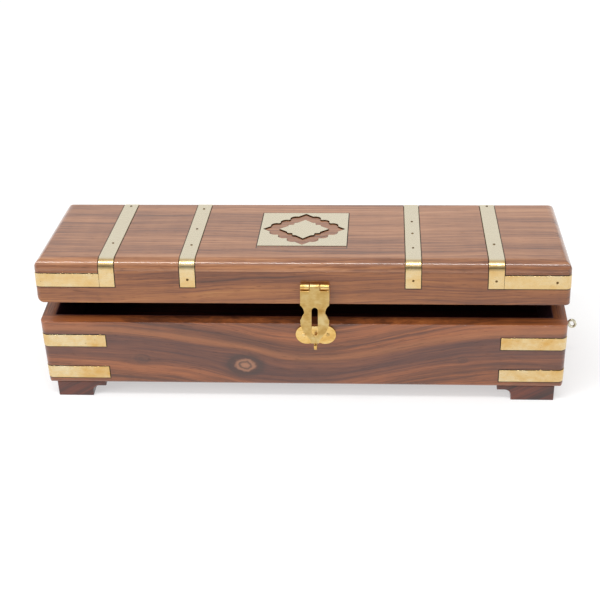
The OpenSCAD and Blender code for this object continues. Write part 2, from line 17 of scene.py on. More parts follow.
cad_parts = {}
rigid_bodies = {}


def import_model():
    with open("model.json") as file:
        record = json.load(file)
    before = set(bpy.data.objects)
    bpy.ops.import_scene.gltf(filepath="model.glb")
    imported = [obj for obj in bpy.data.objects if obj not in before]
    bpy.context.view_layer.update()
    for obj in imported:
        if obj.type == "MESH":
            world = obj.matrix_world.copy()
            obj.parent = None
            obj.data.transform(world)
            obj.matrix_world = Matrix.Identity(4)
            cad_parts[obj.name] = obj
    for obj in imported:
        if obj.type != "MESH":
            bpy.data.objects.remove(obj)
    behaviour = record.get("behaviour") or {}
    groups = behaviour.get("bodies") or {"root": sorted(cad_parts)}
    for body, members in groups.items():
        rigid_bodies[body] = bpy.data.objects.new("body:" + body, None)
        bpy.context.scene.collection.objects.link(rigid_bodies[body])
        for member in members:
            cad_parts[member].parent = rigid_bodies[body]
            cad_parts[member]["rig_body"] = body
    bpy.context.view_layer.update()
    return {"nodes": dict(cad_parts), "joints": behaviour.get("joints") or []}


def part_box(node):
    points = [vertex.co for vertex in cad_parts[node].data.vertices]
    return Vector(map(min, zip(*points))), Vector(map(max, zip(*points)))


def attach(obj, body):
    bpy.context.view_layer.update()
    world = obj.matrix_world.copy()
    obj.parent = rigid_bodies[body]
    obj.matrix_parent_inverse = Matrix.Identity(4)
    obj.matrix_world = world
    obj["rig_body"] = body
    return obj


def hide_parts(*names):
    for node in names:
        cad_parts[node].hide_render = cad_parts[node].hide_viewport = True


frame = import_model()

MM = 0.001
scene = bpy.context.scene

# %% [markdown]
# The lid stands a little open, so its boards don't lie square to the room. Grain has to run with
# the board, not with the room. The lid's joint says where the hinge is and how far the lid can
# still close, and those two give the frame in which the lid is square. Everything that is
# painted on the lid is worked out in that frame, and the base uses the plain one.

# %% Frames of the base and the lid
joints = {j["name"]: j for j in frame["joints"]}
lid_joint = joints["lid_hinge"]
HINGE = Vector(lid_joint["pos_m"])
AJAR = math.radians(-lid_joint["range_deg"][0])


class Square:
    """The place of a body and its turn about X, and the way back to where it is square."""

    def __init__(self, origin, turn):
        self.origin, self.turn = Vector(origin), turn
        self.back = Matrix.Rotation(-turn, 3, "X")

    def inward(self, point):
        return self.back @ (Vector(point) - self.origin)

    def outward(self, point):
        return Matrix.Rotation(self.turn, 3, "X") @ Vector(point) + self.origin

    def box(self, *nodes):
        """Middle and half size of the nodes together, where the body is square."""
        points = np.array(
            [self.inward(v.co) for n in nodes for v in frame["nodes"][n].data.vertices]
        )
        low, high = points.min(0), points.max(0)
        return Vector((low + high) / 2), Vector((high - low) / 2)


hinge_foot = Vector((0, HINGE.y, HINGE.z))
base_square = Square((0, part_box("base_front_board")[0].y, 0), 0)
base_square.origin.y = (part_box("base_front_board")[0].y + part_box("base_back_board")[1].y) / 2
lid_square = Square(hinge_foot, -AJAR)
lid_middle, lid_half = lid_square.box("lid_top_board", "lid_front_board", "lid_back_board")
lid_square.origin = lid_square.outward((0, lid_middle.y, 0))
lid_middle, lid_half = lid_square.box("lid_top_board", "lid_front_board", "lid_back_board")
_, base_half = base_square.box("base_front_board", "base_back_board")
print("lid ajar", round(math.degrees(AJAR), 2), "half size", [round(c / MM, 1) for c in lid_half])

# %% [markdown]
# The camera looks down at the box from the front, a little to its right, through a long lens that
# keeps the edges nearly parallel. A camera looks along its own -Z, so its matrix is made from
# the three directions it has in the room: right, up and back.

# %% Camera
LENS_MM = 78.91
EYE = Vector((0.0462, -0.65883, 0.46664))
YAW, PITCH, ROLL = (math.radians(a) for a in (4.283, 32.712, -1.962))

ahead = Vector(
    (-math.sin(YAW) * math.cos(PITCH), math.cos(YAW) * math.cos(PITCH), -math.sin(PITCH))
)
level_right = ahead.cross(Vector((0, 0, 1))).normalized()
level_up = level_right.cross(ahead)
right = math.cos(ROLL) * level_right + math.sin(ROLL) * level_up
up = -math.sin(ROLL) * level_right + math.cos(ROLL) * level_up
camera = bpy.data.objects.new("camera", bpy.data.cameras.new("camera"))
camera.data.sensor_width = 36
camera.data.lens = LENS_MM
camera.matrix_world = Matrix.Translation(EYE) @ Matrix((right, up, -ahead)).transposed().to_4x4()
scene.collection.objects.link(camera)
scene.camera = camera
print("camera", [round(c, 3) for c in EYE])

# %% [markdown]
# Shader maths reads best as maths. A Wire is one output socket of a node, and the usual signs
# between wires and numbers add Math nodes. A Bench holds a node tree, and its one method adds
# any node: the type, then its settings, then what goes into its sockets. The same two classes
# serve materials and geometry nodes.


# %% Wires and benches
class Wire:
    """An output socket that can be added, multiplied and so on."""

    def __init__(self, bench, socket):
        self.bench, self.socket = bench, socket

    def sum(self, operation, *values):
        node = self.bench.tree.nodes.new("ShaderNodeMath")
        node.operation = operation
        for socket, value in zip(node.inputs, values):
            self.bench.put(socket, value)
        return Wire(self.bench, node.outputs[0])

    def __add__(self, other):
        return self.sum("ADD", self, other)

    def __sub__(self, other):
        return self.sum("SUBTRACT", self, other)

    def __rsub__(self, other):
        return self.sum("SUBTRACT", other, self)

    def __mul__(self, other):
        return self.sum("MULTIPLY", self, other)

    def __truediv__(self, other):
        return self.sum("DIVIDE", self, other)

    def __rtruediv__(self, other):
        return self.sum("DIVIDE", other, self)

    def __neg__(self):
        return self.sum("SUBTRACT", 0.0, self)

    def __abs__(self):
        return self.sum("ABSOLUTE", self)

    __radd__, __rmul__ = __add__, __mul__

    def most(self, other):
        return self.sum("MAXIMUM", self, other)

    def bell(self, width):
        """1 at zero, falling smoothly to nothing a few widths away."""
        return self.sum("EXPONENT", self * self * (-0.5 / width**2))

    def root(self):
        return self.sum("SQRT", self)


class Bench:
    """A node tree, and the one method that adds nodes to it."""

    def __init__(self, tree):
        self.tree = tree

    def put(self, socket, value):
        if isinstance(value, Wire):
            self.tree.links.new(value.socket, socket)
        else:
            socket.default_value = value

    def node(self, kind, settings=None, out=0, inputs=None):
        node = self.tree.nodes.new(kind)
        for key, value in (settings or {}).items():
            if key == "stops":
                ramp = node.color_ramp
                while len(ramp.elements) < len(value):
                    ramp.elements.new(0.5)
                for stop, (place, colour) in zip(ramp.elements, value):
                    stop.position, stop.color = place, colour
            else:
                setattr(node, key, value)
        for key, value in (inputs or {}).items():
            found = [s for s in node.inputs if s.identifier == key or s.name == key]
            self.put(found[0], value)
        outputs = {s.identifier: s for s in node.outputs}
        return Wire(self, outputs[out] if isinstance(out, str) else node.outputs[out])


def colour_of(code):
    """A linear colour from a six-digit code, such as b08a60."""
    shares = [int(code[i : i + 2], 16) / 255 for i in (0, 2, 4)]
    return [s / 12.92 if s <= 0.04045 else ((s + 0.055) / 1.055) ** 2.4 for s in shares] + [1.0]


class Finish(Bench):
    """A material on one Principled shader, with the few mixtures that wood and brass share."""

    def __init__(self, name):
        self.material = bpy.data.materials.new(name)
        self.material.use_nodes = True
        super().__init__(self.material.node_tree)
        self.shader = next(n for n in self.tree.nodes if n.type == "BSDF_PRINCIPLED")

    def set(self, **values):
        for key, value in values.items():
            self.put(self.shader.inputs[key.replace("_", " ")], value)

    def place(self, square):
        """X, Y and Z where the body is square, from the piece's own coordinates."""
        spot = self.node("ShaderNodeTexCoord", out="Object")
        settings = {"vector_type": "TEXTURE"}
        inputs = {"Vector": spot, "Location": square.origin, "Rotation": (square.turn, 0, 0)}
        return self.split(self.node("ShaderNodeMapping", settings, inputs=inputs))

    def split(self, vector):
        return [
            self.node("ShaderNodeSeparateXYZ", out=i, inputs={"Vector": vector}) for i in range(3)
        ]

    def vector(self, x, y, z):
        return self.node("ShaderNodeCombineXYZ", inputs={"X": x, "Y": y, "Z": z})

    def noise(self, x, y, z, detail=2.0, rough=0.5):
        """Noise round zero, from about -1 to 1."""
        inputs = {"Vector": self.vector(x, y, z), "Scale": 1.0}
        inputs |= {"Detail": detail, "Roughness": rough}
        return (self.node("ShaderNodeTexNoise", inputs=inputs) - 0.5) * 2.0

    def step(self, value, low, high):
        """0 below low, 1 above high and smooth between."""
        inputs = {"Value": value, "From Min": low, "From Max": high}
        return self.node("ShaderNodeMapRange", {"interpolation_type": "SMOOTHSTEP"}, inputs=inputs)

    def mix(self, share, a, b, how="MIX"):
        settings = {"data_type": "RGBA", "blend_type": how, "clamp_factor": True}
        inputs = {"Factor_Float": share, "A_Color": a, "B_Color": b}
        return self.node("ShaderNodeMix", settings, "Result_Color", inputs)

    def ramp(self, value, stops):
        return self.node("ShaderNodeValToRGB", {"stops": stops}, inputs={"Fac": value})

    def bump(self, height):
        """A normal from a height in metres."""
        inputs = {"Height": height, "Distance": 1.0, "Strength": 1.0}
        return self.node("ShaderNodeBump", inputs=inputs)

    def outside(self, spot, middle, half):
        """How far a point lies outside a box; below zero is inside it."""
        gaps = [abs(s - m) - h for s, m, h in zip(spot, middle, half)]
        return gaps[0].most(gaps[1]).most(gaps[2])


print("benches ready")

# %% [markdown]
# A studio for small things: a paper floor that is also lit a little from below, so that it goes
# white and its shadows stay soft, a white room, a long narrow light over the front edge of the
# lid, and a soft one from the left. The room has a dim band half way up behind the camera.
# Polished brass shows what it faces, so that band draws the dark line where each brass band
# turns down over the lid's edge.

# %% Studio
FLOOR_HALF = 6.0
floor_mesh = bpy.data.meshes.new("studio_floor")
floor_mesh.from_pydata(
    [(x * FLOOR_HALF, y * FLOOR_HALF, 0) for x, y in ((-1, -1), (1, -1), (1, 1), (-1, 1))],
    [],
    [(0, 1, 2, 3)],
)
floor = bpy.data.objects.new("studio_floor", floor_mesh)
scene.collection.objects.link(floor)
paper = Finish("floor_paper")
floor_x, floor_y, floor_z = paper.split(paper.node("ShaderNodeTexCoord", out="Object"))
tooth = paper.noise(floor_x * 900, floor_y * 900, floor_z, 3)
PAPER_GLOW = 0.51
paper.set(
    Base_Color=paper.mix(tooth * 0.5 + 0.5, colour_of("bcbcbc"), colour_of("c2c2c2")),
    Emission_Color=(1, 1, 1, 1),
    Emission_Strength=PAPER_GLOW,
    Roughness=0.9,
    Normal=paper.bump(tooth * 0.00002),
)
floor_mesh.materials.append(paper.material)

room = bpy.data.worlds.new("studio_room")
room.use_nodes = True
scene.world = room
sky = Bench(room.node_tree)
backdrop = next(n for n in room.node_tree.nodes if n.type == "BACKGROUND")
aim = sky.node("ShaderNodeTexCoord", out="Generated")
aim_y = sky.node("ShaderNodeSeparateXYZ", out=1, inputs={"Vector": aim})
aim_z = sky.node("ShaderNodeSeparateXYZ", out=2, inputs={"Vector": aim})
SMOOTH = {"interpolation_type": "SMOOTHSTEP"}
frontward = sky.node(
    "ShaderNodeMapRange", SMOOTH, inputs={"Value": -aim_y, "From Min": 0.2, "From Max": 0.8}
)
not_high = sky.node(
    "ShaderNodeMapRange", SMOOTH, inputs={"Value": aim_z, "From Min": 0.75, "From Max": 0.5}
)
not_low = sky.node(
    "ShaderNodeMapRange", SMOOTH, inputs={"Value": aim_z, "From Min": 0.16, "From Max": 0.4}
)
seen = sky.node("ShaderNodeLightPath", out="Is Camera Ray")
ROOM, DIM = 0.73, 0.86
strength = (ROOM - frontward * not_high * not_low * DIM * ROOM) * (1 - seen) + seen * 1.02
sky.put(backdrop.inputs["Color"], (1, 1, 1, 1))
sky.put(backdrop.inputs["Strength"], strength)


def soft_light(name, place, target, size, power):
    lamp = bpy.data.objects.new(name, bpy.data.lights.new(name, "AREA"))
    lamp.data.shape = "RECTANGLE"
    lamp.data.size, lamp.data.size_y = size
    lamp.data.energy = power
    lamp.location = place
    lamp.rotation_euler = (Vector(target) - Vector(place)).to_track_quat("-Z", "Y").to_euler()
    lamp.visible_camera = False
    scene.collection.objects.link(lamp)
    print(name, power, "W")


soft_light("strip_light", (-0.1, -0.62, 1.7), (0, -0.05, 0.08), (2.0, 0.1), 18)
soft_light("front_left_light", (-1.4, -1.0, 1.0), (0, 0, 0.05), (0.7, 0.7), 9)
scene.view_settings.view_transform = "Standard"

# %% [markdown]
# The boards and the brass come from the frame as loose triangles with knife-sharp edges. A real
# edge is broken with sandpaper or a file and catches a line of light. Each piece is copied,
# its triangles are merged into whole faces, and a Bevel modifier rounds what is sharp. A Weighted
# Normal modifier then keeps the large faces flat up to the rounding. Where two boards are glued
# together the edge stays almost sharp, so that the joint is a hairline.


# %% Rounding the edges of a copied piece
HOLE_STEP = 0.2 * MM  # the rims of screw and pin holes are drawn in shorter steps, and stay sharp


def merged_copy(node):
    """A closed mesh with whole faces, from a CAD node's loose triangles."""
    shape = bmesh.new()
    shape.from_mesh(frame["nodes"][node].data)
    bmesh.ops.remove_doubles(shape, verts=shape.verts, dist=2e-6)
    bmesh.ops.dissolve_degenerate(shape, dist=2e-6, edges=shape.edges)
    bmesh.ops.dissolve_limit(
        shape, angle_limit=math.radians(1), verts=shape.verts, edges=shape.edges, delimit=set()
    )
    return shape


def plain_mesh(piece, name):
    """The piece with its modifiers worked in, as a new object at the origin."""
    graph = bpy.context.evaluated_depsgraph_get()
    mesh = bpy.data.meshes.new_from_object(piece.evaluated_get(graph))
    bpy.data.objects.remove(piece)
    mesh.name = name
    made = bpy.data.objects.new(name, mesh)
    scene.collection.objects.link(made)
    return made


def finish_piece(piece, body, nodes, material=None):
    """Puts a made piece on its body, in place of its CAD nodes."""
    if material is not None:
        piece.data.materials.clear()
        piece.data.materials.append(material)
    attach(piece, body)
    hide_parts(*nodes)


def refine(node, body, material, edge, seams=(), square=base_square, crease=35):
    """Copies a node and rounds its sharp edges; edges on a seam plane stay nearly sharp."""
    shape = merged_copy(node)
    weight = shape.edges.layers.float.new("bevel_weight_edge")
    for line in shape.edges:
        sharp = len(line.link_faces) == 2 and line.calc_face_angle(0) > math.radians(crease)
        if sharp and line.calc_length() >= HOLE_STEP:
            spot = square.inward((line.verts[0].co + line.verts[1].co) / 2)
            on_seam = any(abs(abs(spot[axis]) - far) < 0.02 * MM for axis, far in seams)
            line[weight] = 0.25 if on_seam else 1.0
    mesh = bpy.data.meshes.new(node + "_copy")
    shape.to_mesh(mesh)
    shape.free()
    mesh.shade_smooth()
    copy = bpy.data.objects.new(node + "_copy", mesh)
    scene.collection.objects.link(copy)
    round_edges = copy.modifiers.new("round_edges", "BEVEL")
    round_edges.width, round_edges.segments = edge, 2
    round_edges.limit_method = "WEIGHT"
    round_edges.use_clamp_overlap = False
    round_edges.miter_outer = "MITER_ARC"
    even_shading = copy.modifiers.new("even_shading", "WEIGHTED_NORMAL")
    even_shading.mode, even_shading.weight = "FACE_AREA", 100
    piece = plain_mesh(copy, node + "_finished")
    finish_piece(piece, body, [node], material)
    return piece


print("edge tools ready")

# %% [markdown]
# Sheesham is a brown rosewood: long streaks of orange tan and purple brown that wander along the
# board, closed by fine dark pores. A plank's streaks are cuts through the same layers of the
# tree, so the pattern is made from one coordinate that runs across the grain. Slow noise bends
# it, knots push it aside the way water flows round a stone, and faster noise on the bent
# coordinate gives bands, streaks, fibres and pores. The base's front has a dip in the grain and
# one paler layer, its flame, that follows the dip. The varnish is a satin coat on top.

# %% Sheesham wood
TOP, FRONT, END = "xyz", "xzy", "yzx"  # along the grain, across it, and into the board
DARK_LINE = colour_of("2a1710")


def layers(finish, along, across, deep, seed):
    """Bands, streaks, fibres and pores, each round zero except the pores."""
    wander = finish.noise(along * 26, across * 60, deep * 60 + seed, 2)
    line = across + wander * 0.0016
    bands = finish.noise(along * 5 + seed, line * 120, deep * 60, 2)
    streaks = finish.noise(along * 12, line * 560 + seed, deep * 300, 4, 0.65)
    fibres = finish.noise(along * 52, line * 1700, deep * 1700 + seed, 2)
    dashes = finish.noise(along * 170 + seed, line * 2600, deep * 2600, 1)
    return bands, streaks, fibres, finish.step(dashes, 0.26, 0.5)


def wood(name, square, way, tones, seed, bend=0.004, slope=0.0, dip=None, knots=(), inlays=(),
         contrast=1.0, gloss=0.22, inside=None, flame=None):
    """A board's finish. way names its axes, tones run from the darkest streak to the palest."""
    finish = Finish(name)
    spot = finish.place(square)
    along, across, deep = (spot["xyz".index(axis)] for axis in way)
    drift = finish.noise(along * 7 + seed, across * 16, deep * 16, 1)
    line = across + drift * bend - along * slope
    if dip:
        middle, width, depth = dip
        line = line + (along - middle).bell(width) * depth
    core = ring = None
    for at_along, at_across, size, strength in knots:
        step_along, step_across = along - at_along, across - at_across
        ragged = finish.noise(along * 330, across * 330, deep * 330 + at_along * 900, 2)
        ragged = ragged * 0.22 * size
        reach = ((step_along * 0.72) * (step_along * 0.72) + step_across * step_across).root()
        squash = size * size * 1.7
        line = line - step_across * squash / (reach * reach + squash) * 0.9
        reach = reach + ragged
        halo = (reach - size * 1.22).bell(size * 0.3) * strength
        heart = finish.step(reach, size * 0.95, size * 0.72) * strength
        if strength < 1:
            halo, heart = halo.most(heart), heart * 0
        rings = (reach - size * 0.45).bell(size * 0.1) * strength
        halo = halo.most(rings)
        core = heart if core is None else core.most(heart)
        ring = halo if ring is None else ring.most(halo)
    bands, streaks, fibres, pores = layers(finish, along, line, deep, seed)
    tone = 0.5 + (bands * 0.5 + streaks * 0.58 + fibres * 0.3) * contrast
    shine = finish.noise(along * 95, line * 14, deep * 14 + seed, 2)
    tone = tone + shine * 0.07
    colour = finish.ramp(tone, list(zip((0.12, 0.36, 0.52, 0.68, 0.92), map(colour_of, tones))))
    if flame is not None:
        under = finish.step(line, flame - 1.5 * MM, flame - 4 * MM)
        under = under * finish.step(line, flame - 26 * MM, flame - 12 * MM)
        colour = finish.mix(under * 0.5, colour, colour_of("4a2b2a"))
        fire = (line - flame + streaks * 0.0008).bell(1.5 * MM)
        colour = finish.mix(fire * 0.5, colour, colour_of("a9693c"))
    colour = finish.mix(pores * 0.42, colour, DARK_LINE)
    if core is not None:
        colour = finish.mix(core * 0.8, colour, colour_of("a87455"))
        colour = finish.mix(ring * 0.75, colour, colour_of("38241d"))
    for middle, half in inlays:
        folded = [abs(s) if m else s for s, m in zip(spot[:2], middle)] + spot[2:]
        far = finish.outside(folded, (abs(middle.x), abs(middle.y), middle.z), half)
        # A dark line is painted in the wood round each inlay: partly the dark joint of its pocket,
        # partly a painted shade of the narrow gap beside the brass.
        inlay_line_and_shade = finish.step(far, 0.75 * MM, 0.3 * MM) * finish.step(far, -0.2 * MM, -0.02 * MM)
        colour = finish.mix(inlay_line_and_shade * 0.82, colour, DARK_LINE)
    if inside:
        middle, half = inside
        dim = finish.step(finish.outside(spot, middle, half), 0.7 * MM, 0.1 * MM)
        colour = finish.mix(dim * 0.9, colour, colour_of("563a44"))
    waves = finish.noise(along * 26, across * 30, deep * 30 + seed, 1)
    height = waves * 0.00009 + fibres * 0.000006 - pores * 0.00002
    finish.set(
        Base_Color=colour,
        Roughness=0.5 + streaks * 0.06 + pores * 0.2,
        Normal=finish.bump(height),
        Coat_Weight=0.9 - pores * 0.3,
        Coat_Roughness=gloss,
        Specular_IOR_Level=0.35,
    )
    print(name, len(finish.tree.nodes), "nodes")
    return finish.material


band_boxes = [lid_square.box("lid_band_inner_right"), lid_square.box("lid_band_outer_right")]
lid_strap_box = lid_square.box("lid_strap_front_right")
plate_box = lid_square.box("medallion_plate")
base_strap_boxes = [
    base_square.box(f"base_strap_{level}_front_right") for level in ("lower", "upper")
]
WALL = (lid_half.y - lid_square.box("lid_left_board")[1].y)
lid_frame_top = lid_square.box("lid_front_board")
LID_SEAM_Z = lid_frame_top[0].z + lid_frame_top[1].z
lid_cavity = (
    Vector((0, 0, lid_frame_top[0].z)),
    Vector((lid_half.x - WALL, lid_half.y - WALL, lid_frame_top[1].z)),
)
base_floor_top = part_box("base_floor")[1].z
rim_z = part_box("base_front_board")[1].z
base_cavity = (
    Vector((0, 0, (base_floor_top + rim_z) / 2)),
    Vector((base_half.x - WALL, base_half.y - WALL, (rim_z - base_floor_top) / 2)),
)
print("wall", round(WALL / MM, 2), "seam", round(LID_SEAM_Z / MM, 2), "rim", round(rim_z / MM, 2))

TOP_TONES = ("543221", "815136", "9b6743", "af7852", "c3936a")
FRONT_TONES = ("492510", "723e1d", "895025", "995e2e", "ab743c")
BASE_TONES = ("442213", "64361e", "804724", "98562c", "ad6a37")
FOOT_TONES = ("2a0b03", "401607", "501d0b", "5e240e", "6b2d12")
LID_INLAYS = [*band_boxes, lid_strap_box]
base_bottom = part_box("base_front_board")[0].z
lid_top_wood = wood(
    "lid_top_wood", lid_square, TOP, TOP_TONES, 3.1, bend=0.005, inlays=[*LID_INLAYS, plate_box],
    contrast=0.8, gloss=0.1, inside=lid_cavity,
)
lid_front_wood = wood(
    "lid_front_wood", lid_square, FRONT, FRONT_TONES, 11.7, slope=0.03, inlays=LID_INLAYS,
    contrast=0.85, gloss=0.1, inside=lid_cavity,
)
lid_end_wood = wood(
    "lid_end_wood", lid_square, END, FRONT_TONES, 17.3, inlays=[lid_strap_box], inside=lid_cavity
)
base_front_wood = wood(
    "base_front_wood", base_square, FRONT, BASE_TONES, 5.9, bend=0.003,
    dip=(5 * MM, 45 * MM, 19 * MM),
    knots=[
        (-33 * MM, base_bottom + 14 * MM, 5.2 * MM, 1.0),
        (-93 * MM, base_bottom + 18 * MM, 2.2 * MM, 0.5),
        (92 * MM, base_bottom + 19 * MM, 1.4 * MM, 0.5),
    ],
    contrast=0.8, inlays=base_strap_boxes, inside=base_cavity, flame=base_bottom + 38 * MM,
)
base_back_wood = wood(
    "base_back_wood", base_square, FRONT, BASE_TONES, 23.3, bend=0.005, slope=-0.02,
    inlays=base_strap_boxes, inside=base_cavity,
)
base_end_wood = wood(
    "base_end_wood", base_square, END, BASE_TONES, 29.7, inlays=base_strap_boxes, inside=base_cavity
)
floor_wood = wood("floor_wood", base_square, TOP, FOOT_TONES, 37.1)
foot_wood = wood("foot_wood", base_square, FRONT, FOOT_TONES, 41.9, slope=0.6, contrast=1.2)

# %% [markdown]
# The boards: the front and the back run the whole length and the ends are glued between them.
# The lid's top board lies on a frame made the same way. Outer edges are broken by hand with
# sandpaper to about half a millimetre.

# %% Boards and feet
WOOD_EDGE = 0.45 * MM
SEAMS = [(1, base_half.y - WALL), (2, LID_SEAM_Z)]
BOARDS = {
    "lid_top_board": ("lid", lid_top_wood, lid_square),
    "lid_front_board": ("lid", lid_front_wood, lid_square),
    "lid_back_board": ("lid", lid_front_wood, lid_square),
    "lid_left_board": ("lid", lid_end_wood, lid_square),
    "lid_right_board": ("lid", lid_end_wood, lid_square),
    "base_front_board": ("base", base_front_wood, base_square),
    "base_back_board": ("base", base_back_wood, base_square),
    "base_left_board": ("base", base_end_wood, base_square),
    "base_right_board": ("base", base_end_wood, base_square),
    "base_floor": ("base", floor_wood, base_square),
}
for node, (body, material, square) in BOARDS.items():
    board = refine(node, body, material, WOOD_EDGE, SEAMS, square)
    print(node, len(board.data.polygons), "faces")
for node in sorted(n for n in frame["nodes"] if n.startswith("foot_")):
    refine(node, "base", foot_wood, WOOD_EDGE)

# %% [markdown]
# The brass is thin yellow sheet, cut with a saw, let into the wood, pinned and sanded flush with
# it. Its flat tops are painted pale and a little milky, a painted sheen for the pale light they
# reflect, while the upright faces keep their gold. It is a metal shader: the colour is the colour
# of its reflections, and what makes it look like sheet is uneven roughness, faint brushing, small
# pits and a wavy surface.


# %% Brass
def brass(name, square, tones, seed, top_sheen=0.0, blotch=1.0, dents=1.0, rough=0.26, edge_shade=0.0):
    """Sheet brass. tones are deep, plain and pale; top_sheen is how much paler what faces up is
    painted, a painted sheen, and edge_shade how dark the faces turned from up are painted, a painted
    shade."""
    finish = Finish(name)
    spot = finish.place(square)
    along, across, deep = spot
    patches = finish.noise(along * 85 + seed, across * 120, deep * 120, 3, 0.6)
    spots = finish.noise(along * 420, across * 420 + seed, deep * 420, 2)
    brushing = finish.noise(along * 70, across * 2100, deep * 2100 + seed, 2)
    pits = finish.step(finish.noise(along * 900, across * 900, deep * 900 + seed, 1), 0.46, 0.62)
    tone = 0.5 + patches * 0.75 * blotch + spots * 0.2 * blotch + brushing * 0.12
    deep_tone, plain, pale = (colour_of(t) for t in tones)
    colour = finish.ramp(tone, [(0.1, deep_tone), (0.5, plain), (0.9, pale)])
    colour = finish.mix(pits * 0.5, colour, colour_of("7d5a2c"))
    if top_sheen:
        facing = finish.node("ShaderNodeTexCoord", out="Normal")
        lift = Vector((0, math.sin(-square.turn), math.cos(square.turn)))
        upward = finish.node(
            "ShaderNodeVectorMath", {"operation": "DOT_PRODUCT"}, "Value",
            {"Vector": facing, "Vector_001": lift},
        )
        # What faces up is painted paler and milky: a painted sheen for the pale light that the flat
        # tops reflect.
        painted_top_sheen = finish.step(upward, 0.86, 0.99) * top_sheen
        colour = finish.mix(painted_top_sheen, colour, colour_of("fff6dc"))
        if edge_shade:
            # The faces that turn away from up, such as the plate's rounded edges, are painted dark:
            # a painted shade along the edge.
            painted_edge_shade = finish.step(upward, 0.93, 0.75) * edge_shade
            colour = finish.mix(painted_edge_shade, colour, colour_of("3c2818"))
    height = (
        patches * 0.00002 * dents
        + finish.noise(along * 48, across * 48 + seed, deep * 48, 1) * 0.00004 * dents
        + brushing * 0.0000012
        - pits * 0.00001
    )
    finish.set(
        Base_Color=colour,
        Metallic=1.0,
        Roughness=rough + patches * 0.07 + brushing * 0.05 + pits * 0.2,
        Normal=finish.bump(height),
    )
    print(name, len(finish.tree.nodes), "nodes")
    return finish.material


INLAY_TONES = ("cea25b", "d8bb87", "dfcfaa")
HASP_TONES = ("c4944a", "e0ba72", "f0d79c")
lid_brass = brass("lid_brass", lid_square, INLAY_TONES, 2.3, top_sheen=0.85, blotch=0.6)
plate_brass = brass(
    "plate_brass", lid_square, INLAY_TONES, 6.1, top_sheen=0.9, blotch=0.3, dents=0.5, edge_shade=0.9
)
base_brass = brass("base_brass", base_square, INLAY_TONES, 8.9, blotch=0.9)
hasp_brass = brass("hasp_brass", lid_square, HASP_TONES, 4.7, blotch=1.3, rough=0.38)
fitting_brass = brass("fitting_brass", base_square, HASP_TONES, 9.4, blotch=1.0)
EYE_TONES = ("a39c82", "d2ccb4", "ece8d9")
eye_brass = brass("eye_brass", base_square, EYE_TONES, 21.3, blotch=0.8)

BRASS_EDGE = 0.15 * MM
for node in sorted(frame["nodes"]):
    body = frame["nodes"][node]["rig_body"]
    if node.startswith(("lid_band", "lid_strap")):
        refine(node, body, lid_brass, BRASS_EDGE, square=lid_square)
    elif node.startswith("medallion"):
        refine(node, body, plate_brass, BRASS_EDGE, square=lid_square)
    elif node.startswith("base_strap"):
        refine(node, body, base_brass, BRASS_EDGE)
    elif node in ("hasp_leaf", "hasp_strap"):
        refine(node, body, hasp_brass, 0.22 * MM, square=lid_square)
    elif node.startswith(("staple", "hinge")) and not node.endswith(("nails", "screws")):
        refine(node, body, fitting_brass, 0.2 * MM)
    elif node.startswith("end_eye"):
        refine(node, body, eye_brass, 0.05 * MM, crease=60)

# %% [markdown]
# Pins, nails and screws repeat, so Geometry Nodes set them. Each CAD node of fasteners holds one
# small solid per fastener. Their places are read from it, as points with the direction that the
# head faces. The tree puts one turned shape on every point, aims it, turns it at random about
# its own axis, makes the copies real and gives them their brass.


# %% Places of the fasteners
def fasteners(node, square):
    """Seat of the head, direction it faces, shank radius, head radius and length of each."""
    shape = merged_copy(node)
    left, found = set(shape.verts), []
    while left:
        island, queue = set(), [left.pop()]
        while queue:
            vert = queue.pop()
            island.add(vert)
            for edge in vert.link_edges:
                other = edge.other_vert(vert)
                if other in left:
                    left.remove(other)
                    queue.append(other)
        points = np.array([square.inward(v.co) for v in island])
        low, high = points.min(0), points.max(0)
        axis = int(np.argmax(high - low))
        middle = (low + high) / 2
        reach = np.linalg.norm(np.delete(points - middle, axis, 1), axis=1)
        rim = points[np.argmax(reach), axis]
        facing = Vector((0, 0, 0))
        facing[axis] = 1 if rim > middle[axis] else -1
        shank = reach[np.abs(points[:, axis] - middle[axis]) > abs(rim - middle[axis]) + 1e-7]
        tail = low[axis] if facing[axis] > 0 else high[axis]
        at_tail = np.abs(points[:, axis] - tail) < 1e-5
        seat = Vector(middle)
        seat[axis] = rim
        turn = Matrix.Rotation(square.turn, 3, "X")
        sizes = (reach[at_tail].max(), reach.max(), abs(rim - tail))
        found.append((square.outward(seat), turn @ facing, *sizes))
    shape.free()
    return found


def points_of(found, name):
    """A mesh of bare points, one for each fastener, with where its head faces."""
    mesh = bpy.data.meshes.new(name)
    mesh.from_pydata([f[0] for f in found], [], [])
    facing = mesh.attributes.new("facing", "FLOAT_VECTOR", "POINT")
    facing.data.foreach_set("vector", [c for f in found for c in f[1]])
    holder = bpy.data.objects.new(name, mesh)
    scene.collection.objects.link(holder)
    return holder


FASTENERS = {
    "lid_pins": ("lid", lid_square),
    "hasp_leaf_nails": ("lid", lid_square),
    "hinge_upper_screws": ("lid", lid_square),
    "staple_plate_nails": ("base", base_square),
    "hinge_lower_screws": ("base", base_square),
}
places = {node: fasteners(node, square) for node, (_, square) in FASTENERS.items()}
for node, found in places.items():
    print(node, len(found), "shank, head, length (mm)", [round(v / MM, 2) for v in found[0][2:]])


# %% [markdown]
# A turned shape is a profile spun round Z. The pin has a low dome with a rim; the screw has a
# flat countersunk head with a driver slot, which a Boolean cuts once on the pattern.


